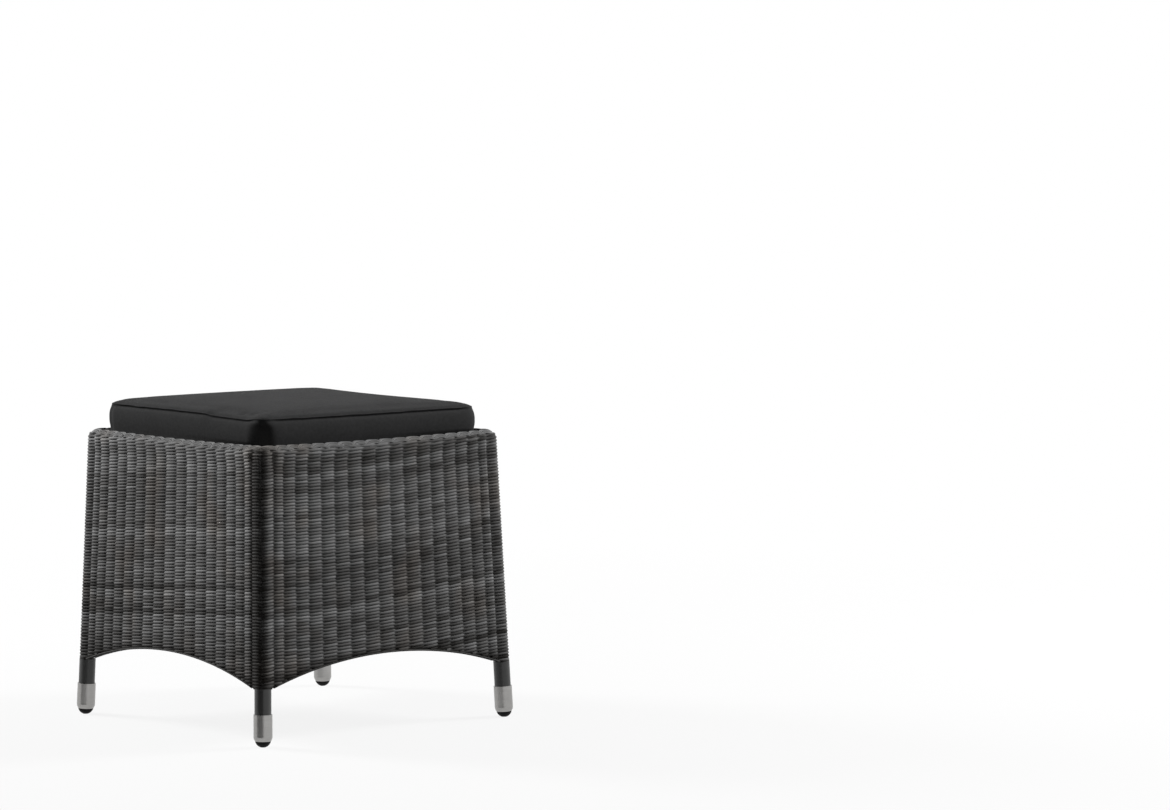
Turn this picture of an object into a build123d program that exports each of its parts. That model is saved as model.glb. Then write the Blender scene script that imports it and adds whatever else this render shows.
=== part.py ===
from build123d import *
import os
from math import asin, atan, cos, degrees, radians, sin, sqrt, tan

# A square woven garden stool. Four leaning legs carry a painted tube frame, the woven walls end
# in an arch on each side and in a rolled rim at the top, and a loose box cushion lies on a woven
# deck inside the rim. Millimetres. The origin is on the floor in the middle, +Z is up and -Y is
# the front. What repeats is made once for the rear side or the rear right leg and then turned.

# Stance
foot_spacing = 460.0      # between leg axes on the floor, both ways
side_lean = 2.062         # degrees that each side leans in
rail_height = 429.0       # axis of the top rails
weave_bottom = 86.0       # where the woven skin ends on each leg
arch_rise = 34.0          # top of the arch above the woven skin's end

# Frame tubes
post_diameter = 19.0
post_wall = 1.5
rail_diameter = 16.0
rail_wall = 1.2
post_rise = 4.0           # of the post's end above the axis of the top rails
weld_bite = 1.5           # how deep a post sits into the deck rail that passes it
bar_spacing = 132.0       # between the two bars under the deck

# Legs below the weave
sleeve_diameter = 25.0    # painted sleeve, as thick as the weave above it
ferrule_diameter = 28.0
ferrule_length = 39.3
ferrule_floor = 8.3       # solid base of the ferrule
tip_diameter = 23.4       # where ferrule and glide meet
glide_height = 8.7
glide_tread = 0.6         # worn off the glide's dome, so that it stands flat
stem_diameter = 8.0
stem_length = 26.0
insert_length = 22.0
plug_head = 3.2
plug_length = 12.0

# Woven skin
skin_outside = 12.5       # from the plane of the post axes to the weave's outer face
skin_thickness = 7.0
corner_flank = 13.5       # how far the corner weave runs along a wall
rim_radius = 13.0
rim_sag = 2.5             # of the rolled rim at mid side
corner_swell = 0.4        # of the rolled rim at the corners
rim_tuck = 6.0            # the wall ends this far below the rail axis, inside the roll
binding_thickness = 2.5
deck_wrap = 2.6
deck_clear = 1.8          # between the deck's wrapped edge and the rolled rim
deck_skirt = 4.0          # the deck's turned edge ends this far below the deck rails' axes
stake_width = 6.0
stake_thickness = 2.6
stakes_a_side = 17
crowding_share = 0.1      # how much closer the stakes stand near the corners
flute_width = 7.6         # of the hollows that the weave has between its stakes
flute_depth = 2.6
flute_to_post = 8.5       # of the last hollow on each side, from the leg's axis

# Cushion
boxing_height = 59.7      # from the cushion's underside to its top seam
cushion_clear = 2.8       # between the cushion's top seam and the rolled rim
cushion_crown = 14.0      # of the cushion's middle above its top seam
cushion_corner = 9.0      # corner radius seen from above
side_draw = 2.0           # how far the sides are drawn in between the corners
side_bulge = 1.5          # how far the boxing swells between its seams
cover_thickness = 1.2
piping_diameter = 3.2
zip_length = 336.0
tape_width = 24.0
tape_thickness = 1.0
coil_width = 5.0
coil_height = 1.4
zip_height = 42.0         # of the zip above the cushion's underside
slider_length = 11.0
slider_width = 10.0
slider_plate = 1.2
zip_end_stop = 13.0       # from the tape's end to the middle of the parked slider
bridge_width = 2.2
bridge_room = 2.8         # height of the opening under the slider's bridge
bridge_strap = 1.1
pull_length = 25.0
pull_width = 7.0
pull_thickness = 1.4
pull_arm = 1.0

# Clearances
fit = 0.1                 # between pieces that are pushed together or wound round each other
seat_gap = 0.3            # between pieces that lie on or move along each other
overrun = 5.0             # of a cutter past what it cuts

# The crown of the cushion: inset from the top seam as shares of its half size, rise as shares of
# the crown, and the corner's growth as shares of the inset
crown_shares = ((0.0, 0.0), (0.02, 0.3), (0.06, 0.52), (0.14, 0.72), (0.26, 0.86), (0.42, 0.95),
                (0.62, 0.99), (0.8, 1.0))
corner_growth_share = 0.6
lead_in_share = 0.25      # of a stem's radius, taken off its end
wrap_edge_share = 0.6     # of the arch rail's radius that its binding covers towards the wall
quarter = 90
corners = ("rear_right", "rear_left", "front_left", "front_right")
sides = ("rear", "left", "front", "right")

post_radius = post_diameter / 2
rail_radius = rail_diameter / 2
sleeve_radius = sleeve_diameter / 2
ferrule_radius = ferrule_diameter / 2
tip_radius = tip_diameter / 2
stem_radius = stem_diameter / 2
skin_inside = skin_outside - skin_thickness
foot_half = foot_spacing / 2
lean = radians(side_lean)
leg_stretch = sqrt(1 + 2 * tan(lean) ** 2)
leg_line = Vector(-tan(lean), -tan(lean), 1).normalized()
out_line = Vector(0, cos(lean), sin(lean))
bottom = (Align.CENTER, Align.CENTER, Align.MIN)
wall = Plane((0, foot_half, 0), x_dir=(-1, 0, 0), z_dir=out_line).location


def post_at(height):
    # how far a leg's axis stands from the middle, along X and along Y
    return foot_half - height * tan(lean)


def up_wall(height):
    # the same height, measured up the leaning wall
    return height / cos(lean)


def along_leg(height):
    # the same height, measured along the leaning leg
    return height * leg_stretch


def on_leg(travel, shape):
    # puts a shape on the rear right leg's axis, X along the rear wall and -Y out of it
    foot = Vector(foot_half, foot_half, 0) + leg_line * travel
    return Plane(foot, x_dir=leg_line.cross(out_line), z_dir=leg_line).location * shape


def leg_bar(radius, low, high):
    return on_leg(low, Cylinder(radius, high - low, align=bottom))


def turned(shape, turns):
    return Rot(0, 0, quarter * turns) * shape


def both_ends(shape):
    # the same solid on the rear right and the rear left leg
    return [shape, turned(shape, 1)]


def cut(shape, cutters):
    for cutter in cutters:
        shape = shape - cutter
    return shape


def bar_along_x(radius, half_length, y, z):
    return Pos(0, y, z) * Rot(0, quarter, 0) * Cylinder(radius, 2 * half_length)


def bar_along_y(radius, half_length, x, z):
    return Pos(x, 0, z) * Rot(quarter, 0, 0) * Cylinder(radius, 2 * half_length)


def bent_bar(radius, bend, middle, depth, reach, way):
    # A round bar bent in the wall's own plane, with its mid length at a height on the wall and a
    # depth out of it. way is 1 where the bar rises to its middle and -1 where it sags.
    half_turn = degrees(asin(reach / bend))
    hub = (0, middle - way * bend, depth)
    profile = Pos(*hub) * Rot(0, 0, -half_turn) * Plane.YZ.location * Pos(way * bend, 0) * Circle(radius)
    return wall * revolve(profile, Axis(hub, (0, 0, 1)), revolution_arc=2 * half_turn)


def dome_middle(radius, rise):
    # half way along a dome's arc from its rim to its crown: distance from the axis, and depth
    sphere = (radius ** 2 + rise ** 2) / (2 * rise)
    half_angle = asin(radius / sphere) / 2
    return sphere * sin(half_angle), sphere * (1 - cos(half_angle))


def turned_piece(points, arcs):
    # a round piece from its half profile in X and Z, where arcs gives each curved edge's mid point
    edges = []
    for index, start in enumerate(points):
        end = points[(index + 1) % len(points)]
        if index in arcs:
            edges.append(ThreePointArc(start, arcs[index], end))
        else:
            edges.append(Line(start, end))
    return revolve(Plane.XZ.location * make_face(edges), Axis.Z)


# Places that several pieces share
rail_at = post_at(rail_height)
corner_point = (rail_at, rail_at, rail_height)
post_foot = glide_height + ferrule_floor
post_top = along_leg(rail_height) + post_rise
skin_foot = along_leg(weave_bottom)
skin_top = rail_height - rim_tuck
arch_half = post_at(weave_bottom) - sleeve_radius
arch_top = up_wall(weave_bottom + arch_rise)
arch_radius = (arch_half ** 2 + up_wall(arch_rise) ** 2) / (2 * up_wall(arch_rise))
binding_radius = rail_radius + binding_thickness
arch_depth = skin_inside - fit - rail_radius
arch_bend = arch_radius + binding_radius
sag_bend = (rail_at ** 2 + rim_sag ** 2) / (2 * rim_sag)
wedge_reach = 2 * foot_half
wedge_corners = ((0, 0), (wedge_reach, wedge_reach), (-wedge_reach, wedge_reach))
wedge = extrude(make_face(Polyline(*wedge_corners, close=True)), 2 * rail_height)
post_room = both_ends(leg_bar(post_radius + fit, 0, 2 * post_top))
skin_room = both_ends(leg_bar(skin_outside + fit, 0, 2 * post_top))
wall_lift = up_wall(rail_height - weave_bottom)
flute_radius = (flute_width ** 2 / 4 + flute_depth ** 2) / (2 * flute_depth)
flute_axis = skin_outside + flute_radius - flute_depth


def arch_bar(radius):
    # a bar that follows the arch from leg to leg
    return bent_bar(radius, arch_bend, arch_top + binding_radius, arch_depth, post_at(weave_bottom), 1)


def rolled_rim():
    # the roll on the rear side with its swollen corners, before anything is cut from it
    roll = bent_bar(rim_radius, sag_bend, up_wall(rail_height) - rim_sag, 0, rail_at, -1)
    knob = Pos(*corner_point) * Sphere(rim_radius + corner_swell)
    for end in both_ends(knob):
        roll = roll + end
    return roll


roll_shape = rolled_rim()


# Legs
def corner_post():
    bore = leg_bar(post_radius - post_wall, post_foot - overrun, post_top + overrun)
    return leg_bar(post_radius, post_foot, post_top) - bore


def leg_sleeve():
    bore = leg_bar(post_radius + fit, post_foot - overrun, skin_foot + overrun)
    return leg_bar(sleeve_radius, post_foot, skin_foot) - bore


def ferrule():
    shoulder = (ferrule_radius, post_foot)
    tip = (tip_radius, glide_height)
    # the lower edge is rounded, a little fuller than a straight cone
    swell = ((tip_radius + 2 * ferrule_radius) / 3, (2 * glide_height + post_foot) / 3)
    top = glide_height + ferrule_length
    bore = sleeve_radius + fit
    hole = stem_radius + fit
    points = ((hole, glide_height), tip, shoulder, (ferrule_radius, top), (bore, top),
              (bore, post_foot), (hole, post_foot))
    return on_leg(0, turned_piece(points, {1: swell}))


def foot_glide():
    out, up = dome_middle(tip_radius, glide_height + glide_tread)
    bulge = (out, up - glide_tread)
    stem_top = glide_height + stem_length
    lead_in = stem_radius * lead_in_share
    points = ((0, -glide_tread), (tip_radius, glide_height), (stem_radius, glide_height),
              (stem_radius, stem_top - lead_in), (stem_radius - lead_in, stem_top), (0, stem_top))
    glide = on_leg(0, turned_piece(points, {0: bulge}))
    floor = Pos(foot_half, foot_half, 0) * Box(foot_half, foot_half, overrun,
                                               align=(Align.CENTER, Align.CENTER, Align.MAX))
    return glide - floor


def leg_insert():
    # a bush in the post's end that grips the glide's stem
    outer = leg_bar(post_radius - post_wall - fit, post_foot, post_foot + insert_length)
    return outer - leg_bar(stem_radius + fit, 0, post_foot + insert_length + overrun)


def post_plug():
    stem = post_radius - post_wall - fit
    lead_in = stem * lead_in_share
    rim = plug_head / 2
    out, down = dome_middle(post_radius, plug_head - rim)
    points = ((0, -plug_length), (stem - lead_in, -plug_length), (stem, lead_in - plug_length), (stem, 0),
              (post_radius, 0), (post_radius, rim), (0, plug_head))
    return on_leg(post_top, turned_piece(points, {5: (out, plug_head - down)}))


# Rails
def top_rail():
    rail = bar_along_x(rail_radius, rail_at, rail_at, rail_height)
    rail = rail - bar_along_x(rail_radius - rail_wall, rail_at + overrun, rail_at, rail_height)
    return cut(rail & wedge, post_room)


def arch_rail():
    rail = arch_bar(rail_radius) - arch_bar(rail_radius - rail_wall)
    return cut(rail & wedge, post_room)


# Woven skin
def corner_weave():
    # a wound sleeve round the post, with a flank along each wall that the wall's weave meets
    length = along_leg(skin_top) - skin_foot
    sleeve = leg_bar(skin_outside, skin_foot, skin_foot + length)
    flank = Pos(0, -skin_outside, 0) * Box(corner_flank, skin_thickness, length,
                                           align=(Align.MIN, Align.MIN, Align.MIN))
    flute = Pos(flute_to_post, -flute_axis, 0) * Cylinder(flute_radius, 3 * length)
    flank = on_leg(skin_foot, flank - flute)
    sleeve = sleeve + flank + mirror(flank, Plane((0, 0, 0), z_dir=(1, -1, 0)))
    sleeve = sleeve - leg_bar(post_radius + fit, 0, 2 * post_top)
    arch_room = arch_bar(rail_radius + fit)
    across = [roll_shape, turned(roll_shape, -1), arch_room, turned(arch_room, -1),
              bar_along_x(rail_radius + fit, post_at(deck_height) + overrun, deck_rail_at, deck_height)]
    return cut(sleeve, across)


def rim_braid():
    roll = roll_shape & wedge
    roll = roll - bar_along_x(rail_radius + fit, rail_at, rail_at, rail_height)
    head_room = leg_bar(post_radius + fit, post_top - 2 * rim_radius, post_top + plug_head + fit)
    return cut(roll, both_ends(head_room))


def arch_binding():
    # strands wound round the arch rail on the side away from the wall
    wrap = arch_bar(binding_radius) - arch_bar(rail_radius + fit)
    front = Pos(0, 0, arch_depth + rail_radius * wrap_edge_share) * Box(
        wedge_reach * 2, wedge_reach * 2, binding_radius * 2, align=bottom)
    wrap = (wrap - wall * front) & wedge
    return cut(wrap, skin_room)


def on_upright(share, shape, depth):
    # puts a shape on a line that fans out with the wall, Y along that line and Z out of the wall
    foot, head = share * post_at(weave_bottom), share * post_at(rail_height)
    fan = degrees(atan((foot - head) / wall_lift))
    place = Pos((foot + head) / 2, up_wall(weave_bottom + rail_height) / 2, depth) * Rot(0, 0, fan)
    return wall * (place * shape)


def wall_blank():
    # the rear wall between the corner flanks, from the arch up into the rolled rim, with a hollow
    # between each two stakes
    slant = cos(atan(sin(lean)))
    low = weave_bottom - arch_rise
    points = []
    for height, hand in ((low, -1), (low, 1), (skin_top, 1), (skin_top, -1)):
        points.append((hand * (post_at(height) - corner_flank / slant), up_wall(height)))
    outline = make_face(Polyline(*points, close=True))
    blank = Pos(0, 0, skin_inside) * extrude(outline, skin_thickness)
    arch = Pos(0, arch_top - arch_radius, skin_inside) * Cylinder(arch_radius, 4 * skin_thickness)
    flute = Rot(quarter, 0, 0) * Cylinder(flute_radius, 2 * wall_lift)
    places = list(stake_places())
    flutes = [on_upright((left + right) / 2, flute, flute_axis) for left, right in zip(places, places[1:])]
    return cut(wall * (blank - arch), flutes) - roll_shape


def stake_places():
    # stakes stand closer together towards the corners, and fan out with the wall
    for index in range(stakes_a_side):
        step = 2 * (index + 1) / (stakes_a_side + 1) - 1
        yield step * (1 + crowding_share) - crowding_share * step ** 3


def stake(share):
    body = Box(stake_width, 2 * wall_lift, stake_thickness)
    return on_upright(share, body, skin_outside - skin_thickness / 2)


# Deck under the cushion
deck_inset = post_radius + rail_radius - weld_bite
deck_reach = rim_radius + rail_radius + deck_wrap + deck_clear
deck_height = rail_height - rim_sag - sqrt(deck_reach ** 2 - deck_inset ** 2)
deck_rail_at = post_at(deck_height) - deck_inset
deck_top = deck_height + rail_radius + deck_wrap


def tube_along_x(half_length, y):
    tube = bar_along_x(rail_radius, half_length, y, deck_height)
    return tube - bar_along_x(rail_radius - rail_wall, half_length + overrun, y, deck_height)


def crossing_tubes(bar, reach, at):
    # room for the two tubes that a tube ends against
    return [bar(rail_radius + fit, reach, hand * at, deck_height) for hand in (-1, 1)]


def long_deck_rail():
    # passes inside both posts and is welded to them
    return cut(tube_along_x(post_at(deck_height), deck_rail_at), post_room)


def short_deck_rail():
    # between the long rails, made for the right side
    tube = bar_along_y(rail_radius, deck_rail_at, deck_rail_at, deck_height)
    tube = tube - bar_along_y(rail_radius - rail_wall, deck_rail_at + overrun, deck_rail_at, deck_height)
    return cut(tube, crossing_tubes(bar_along_x, 2 * deck_rail_at, deck_rail_at))


def deck_bar(hand):
    tube = tube_along_x(deck_rail_at, hand * bar_spacing / 2)
    return cut(tube, crossing_tubes(bar_along_y, 2 * deck_rail_at, deck_rail_at))


def draped_block(half, top, low, edge):
    block = Pos(0, 0, low) * Box(2 * half, 2 * half, top - low, align=bottom)
    return fillet(block.faces().sort_by(Axis.Z)[-1].edges(), edge)


def seat_weave():
    # a woven sheet over the deck rails, its edges turned down round them
    low = deck_height - deck_skirt
    half = deck_rail_at + rail_radius
    sheet = draped_block(half + deck_wrap, deck_top, low, rail_radius + deck_wrap)
    sheet = sheet - draped_block(half + fit, deck_top - deck_wrap, low - overrun, rail_radius)
    legs = leg_bar(skin_outside + fit, 0, post_top)
    room = [turned(legs, turns) for turns in range(len(corners))]
    return cut(sheet, room + crossing_tubes(bar_along_x, post_at(0), deck_rail_at))


# Cushion
cushion_half = rail_at - rim_radius - cushion_clear
cushion_low = deck_top + seat_gap
seam_height = cushion_low + boxing_height
piping_radius = piping_diameter / 2
foam_inset = cover_thickness + seat_gap
bottom_edge = cushion_low + cover_thickness
low_seam = bottom_edge + fit + piping_radius
boxing_low = low_seam + piping_radius + fit
boxing_high = seam_height - piping_radius - fit
crown_base = seam_height + piping_radius + fit


def pad_face(half, corner, height):
    # a square seen from above, its sides drawn in between rounded corners
    edges = []
    for turns in range(4):
        side = ThreePointArc((-half, half), (0, half - side_draw * half / cushion_half), (half, half))
        edges.append(turned(side, turns))
    face = make_face(edges)
    return Pos(0, 0, height) * fillet(face.vertices(), corner)


def crown_block(shrink):
    # the pillow above the top seam, smaller all round by shrink
    half = cushion_half - shrink
    rise = seam_height + cushion_crown - crown_base - shrink
    faces = []
    for inset, lift in crown_shares:
        corner = cushion_corner + corner_growth_share * inset * (1 - inset) * half
        faces.append(pad_face(half * (1 - inset), corner, crown_base + lift * rise))
    return loft(faces, ruled=True)


def boxing_block(shrink, low, high):
    # the swollen band between the seams, smaller all round by shrink
    half = cushion_half - shrink
    middle = (low + high) / 2
    return loft([pad_face(half, cushion_corner, low), pad_face(half + side_bulge, cushion_corner, middle),
                 pad_face(half, cushion_corner, high)])


def piping(height):
    # a round cord sewn between two panels, which just clears the foam
    half = cushion_half - foam_inset + piping_radius + fit
    path = pad_face(half, cushion_corner, height).face().outer_wire()
    start = path.edges()[0]
    profile = Plane(start @ 0, z_dir=start % 0).location * Circle(piping_radius)
    return sweep(profile, path=path)


zip_face = cushion_half - side_draw
zip_level = cushion_low + zip_height
zip_room = Pos(0, zip_face - tape_thickness - seat_gap, zip_level) * Box(
    zip_length + 2 * fit, cushion_half, tape_width + 2 * fit, align=(Align.CENTER, Align.MIN, Align.CENTER))


def cushion_top():
    return crown_block(0) - crown_block(cover_thickness)


def cushion_boxing():
    band = boxing_block(0, boxing_low, boxing_high) - boxing_block(cover_thickness, boxing_low, boxing_high)
    return band - zip_room


def cushion_bottom():
    return extrude(pad_face(cushion_half, cushion_corner, cushion_low), cover_thickness)


def cushion_foam():
    # a straight-sided slab with a crowned top
    low = bottom_edge + seat_gap
    slab = extrude(pad_face(cushion_half - foam_inset, cushion_corner, low), crown_base - low)
    return slab + crown_block(foam_inset) - zip_room


# Zip along the rear of the boxing
def zip_block(length, low, high, width, x=0):
    # a block on the rear face, from one depth to another, in the zip's own line
    block = Box(length, high - low, width, align=(Align.CENTER, Align.MIN, Align.CENTER))
    return Pos(x, zip_face + low, zip_level) * block


slider_at = zip_end_stop - zip_length / 2
channel_depth = coil_height + seat_gap
plate_top = channel_depth + slider_plate
strap_low = plate_top + bridge_room
hinge_depth = plate_top + bridge_room / 2


def zip_tape():
    tape = zip_block(zip_length, -tape_thickness, 0, tape_width)
    return tape + zip_block(zip_length, 0, coil_height, coil_width)


def zip_slider():
    body = zip_block(slider_length, seat_gap, plate_top, slider_width, slider_at)
    body = body - zip_block(2 * slider_length, 0, channel_depth, coil_width + 2 * seat_gap, slider_at)
    bridge_length = slider_length - 2 * bridge_strap
    bridge = zip_block(bridge_length, plate_top, strap_low + bridge_strap, bridge_width, slider_at)
    opening = zip_block(bridge_length - 2 * bridge_strap, plate_top, strap_low, 2 * bridge_width, slider_at)
    return body + (bridge - opening)


def zip_pull():
    # a plate on two arms, with a bar between them that turns under the slider's bridge
    bar_radius = pull_thickness / 2
    low, high = hinge_depth - bar_radius, hinge_depth + bar_radius
    inner = bridge_width / 2 + 2 * seat_gap
    outer = inner + pull_arm
    bar = Pos(slider_at, zip_face + hinge_depth, zip_level) * Cylinder(bar_radius, 2 * outer)
    plate_start = slider_length / 2
    plate_length = pull_length - plate_start
    plate = zip_block(plate_length, low, high, pull_width, slider_at + plate_start + plate_length / 2)
    tip_edges = plate.edges().filter_by(Axis.Y).group_by(Axis.X)[-1]
    plate = fillet(tip_edges, pull_width / 2 - seat_gap)
    pull = bar + plate
    for hand in (-1, 1):
        arm = zip_block(plate_start, low, high, pull_arm, slider_at + plate_start / 2)
        pull = pull + Pos(0, 0, hand * (inner + outer) / 2) * arm
    return pull


def write(name, shape):
    export_step(shape, os.path.join("parts", name + ".step"))


def group(shapes):
    return Compound(children=[solid for shape in shapes for solid in shape.solids()])


os.makedirs("parts", exist_ok=True)

leg_pieces = {"corner_post": corner_post(), "leg_sleeve": leg_sleeve(), "ferrule": ferrule(),
              "foot_glide": foot_glide()}
for name, piece in leg_pieces.items():
    for turns, corner in enumerate(corners):
        write(name + "_" + corner, turned(piece, turns))
# the long deck rails pass through the corner weave, so the left and right corners are mirrored
right_weave = corner_weave()
left_weave = mirror(right_weave, Plane.YZ)
for piece, turns, corner in ((right_weave, 0, "rear_right"), (left_weave, 0, "rear_left"),
                             (right_weave, 2, "front_left"), (left_weave, 2, "front_right")):
    write("corner_weave_" + corner, turned(piece, turns))
for name, piece in (("leg_inserts", leg_insert()), ("post_plugs", post_plug())):
    write(name, group([turned(piece, turns) for turns in range(len(corners))]))

blank = wall_blank()
stakes = [stake(share) for share in stake_places()]
side_pieces = {"top_rail": top_rail(), "arch_rail": arch_rail(), "rim_braid": rim_braid(),
               "arch_binding": arch_binding(), "woven_wall": cut(blank, stakes)}
for name, piece in side_pieces.items():
    for turns, side in enumerate(sides):
        write(name + "_" + side, turned(piece, turns))
side_stakes = group([body & blank for body in stakes])
write("wall_stakes", group([turned(side_stakes, turns) for turns in range(len(sides))]))

for turns, side in ((0, "rear"), (2, "front")):
    write("deck_rail_" + side, turned(long_deck_rail(), turns))
for turns, side in ((0, "right"), (2, "left")):
    write("deck_rail_" + side, turned(short_deck_rail(), turns))
write("deck_bars", group([deck_bar(-1), deck_bar(1)]))
write("seat_weave", seat_weave())

write("cushion_top", cushion_top())
write("cushion_boxing", cushion_boxing())
write("cushion_bottom", cushion_bottom())
write("cushion_foam", cushion_foam())
write("piping_low", piping(low_seam))
write("piping_high", piping(seam_height))
write("zip_tape", zip_tape())
write("zip_slider", zip_slider())
write("zip_pull", zip_pull())

print("seam height", round(seam_height, 2), "cushion half size", round(cushion_half, 2))
print("deck top", round(deck_top, 2), "arch radius", round(arch_radius, 1))
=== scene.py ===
import math

import bpy
import numpy as np
from mathutils import Matrix, Vector


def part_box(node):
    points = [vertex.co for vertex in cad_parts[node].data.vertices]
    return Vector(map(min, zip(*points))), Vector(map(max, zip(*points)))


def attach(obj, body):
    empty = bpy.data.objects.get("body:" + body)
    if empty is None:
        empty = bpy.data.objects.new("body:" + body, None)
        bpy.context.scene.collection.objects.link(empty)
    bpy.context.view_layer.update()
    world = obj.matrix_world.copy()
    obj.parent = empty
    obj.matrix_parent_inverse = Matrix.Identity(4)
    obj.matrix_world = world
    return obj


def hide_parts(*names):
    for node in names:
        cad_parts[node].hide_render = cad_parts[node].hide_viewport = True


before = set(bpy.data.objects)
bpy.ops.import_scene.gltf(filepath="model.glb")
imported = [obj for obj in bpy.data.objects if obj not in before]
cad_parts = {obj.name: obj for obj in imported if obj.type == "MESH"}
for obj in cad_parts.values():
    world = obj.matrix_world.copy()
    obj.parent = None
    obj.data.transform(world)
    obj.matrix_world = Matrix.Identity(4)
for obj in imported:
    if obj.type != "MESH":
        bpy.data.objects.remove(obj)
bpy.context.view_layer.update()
print("frame loaded:", len(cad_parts), "nodes")

# The stool's own lines, the same as in the CAD, in metres
stool = dict(
    footSpacing=0.460,
    lean=math.radians(2.062),
    railHeight=0.429,
    weaveLow=0.086,
    archRise=0.034,
    rimSag=0.0025,
    stakeSteps=18,               # from one corner post to the next
    crowding=0.1,                # of the stakes towards the corner posts
    sides=("front", "right", "rear", "left"),
    leftCorners=("front_left", "front_right", "rear_right", "rear_left"),   # of each side, seen from outside
)
along = np.array([(1, 0, 0), (0, 1, 0), (-1, 0, 0), (0, -1, 0)], float)     # to the right, seen from outside
outward = np.array([(0, -1, 0), (1, 0, 0), (0, 1, 0), (-1, 0, 0)], float)
upward = np.array((0.0, 0.0, 1.0))
chance = np.random.default_rng(7)


def postAt(z):
    return stool["footSpacing"] / 2 - z * math.tan(stool["lean"])


def stakeShare(count):           # where a stake stands, from -1 at one corner post to 1 at the next
    step = 2 * count / stool["stakeSteps"] - 1
    return step * (1 + stool["crowding"]) - stool["crowding"] * step ** 3


def onWall(side, u, w, z):       # u to the right, w out of the plane of the post axes
    return u[..., None] * along[side] + (postAt(z) + w)[..., None] * outward[side] + z[..., None] * upward


def fade(value, start, stop):    # 0 at start, 1 at stop, straight between
    return np.clip((value - start) / (stop - start), 0, 1)


def eased(value, start, stop):   # the same, but smooth at both ends
    share = fade(value, start, stop)
    return share * share * (3 - 2 * share)


def unit(vectors):
    return vectors / np.maximum(np.linalg.norm(vectors, axis=-1, keepdims=True), 1e-12)


def placed(name, data):          # a new object in the scene
    made = bpy.data.objects.new(name, data)
    bpy.context.scene.collection.objects.link(made)
    return made


class Wire:                      # a node's output, used in plain expressions
    def __init__(self, nodes, socket):
        self.nodes, self.socket = nodes, socket

    def maths(self, operation, first, second=0.0):
        return self.nodes.node("ShaderNodeMath", {"operation": operation}, {0: first, 1: second})

    def __add__(self, other):
        return self.maths("ADD", self, other)

    def __radd__(self, other):
        return self.maths("ADD", other, self)

    def __sub__(self, other):
        return self.maths("SUBTRACT", self, other)

    def __rsub__(self, other):
        return self.maths("SUBTRACT", other, self)

    def __mul__(self, other):
        return self.maths("MULTIPLY", self, other)

    def __rmul__(self, other):
        return self.maths("MULTIPLY", other, self)

    def sine(self):
        return self.maths("SINE", self)

    def clamped(self):
        return self.nodes.node("ShaderNodeClamp", {}, {"Value": self})


class Nodes:                     # the nodes of one material, or of the world
    def __init__(self, tree):
        self.tree = tree

    def node(self, kind, settings=None, inputs=None, out=0):
        made = self.tree.nodes.new(kind)
        for name, value in (settings or {}).items():
            if name == "stops":
                ramp = made.color_ramp.elements
                while len(ramp) < len(value):
                    ramp.new(0.5)
                for stop, (place, colour) in zip(ramp, value):
                    stop.position, stop.color = place, (*colour, 1)
            else:
                setattr(made, name, value)
        for name, value in (inputs or {}).items():
            if isinstance(value, Wire):
                self.tree.links.new(value.socket, made.inputs[name])
            else:
                made.inputs[name].default_value = value
        return Wire(self, made.outputs[out])

    def seen(self):              # 1 where the camera looks, also in a mirror or through glass, and 0 for light
        rays = [self.node("ShaderNodeLightPath", out=name)
                for name in ("Is Camera Ray", "Is Glossy Ray", "Is Transmission Ray")]
        return (rays[0] + rays[1] + rays[2]).clamped()


class Paint(Nodes):              # a material and its one Principled shader
    def __init__(self, name, **constants):
        self.material = bpy.data.materials.new(name)
        self.material.use_nodes = True
        super().__init__(self.material.node_tree)
        self.shader = self.tree.nodes["Principled BSDF"]
        for socket, value in constants.items():
            self.shader.inputs[socket.replace("_", " ")].default_value = value

    def place(self):
        return self.node("ShaderNodeTexCoord", out="Object")

    def noise(self, scale, detail, stretch=(1, 1, 1)):
        where = self.node("ShaderNodeMapping", {}, {"Vector": self.place(), "Scale": stretch})
        return self.node("ShaderNodeTexNoise", {}, {"Vector": where, "Scale": scale, "Detail": detail})

    def axis(self, name):
        return self.node("ShaderNodeSeparateXYZ", {}, {0: self.place()}, out=name)

    def value(self, name):
        return self.node("ShaderNodeAttribute", {"attribute_name": name}, out="Fac")

    def ramp(self, amount, *stops):
        return self.node("ShaderNodeValToRGB", {"stops": stops}, {"Fac": amount})

    def blend(self, amount, first, second):
        return self.node("ShaderNodeMix", {"data_type": "RGBA"}, {0: amount, 6: first, 7: second}, out=2)

    def wear(self, colour, roughness=None, bump=None, relief=0.0002, depth=1.0):
        varying = {"Base Color": colour, "Roughness": roughness}
        if bump is not None:
            varying["Normal"] = self.node("ShaderNodeBump", {}, {"Strength": depth, "Distance": relief,
                                                                 "Height": bump})
        for socket, wire in varying.items():
            if wire is not None:
                self.tree.links.new(wire.socket, self.shader.inputs[socket])
        return self.material


def grey(level, tint=(1, 1, 1)):  # from a 0 to 255 screen value
    linear = ((level / 255 + 0.055) / 1.055) ** 2.4
    return tuple(linear * part for part in tint)


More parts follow.
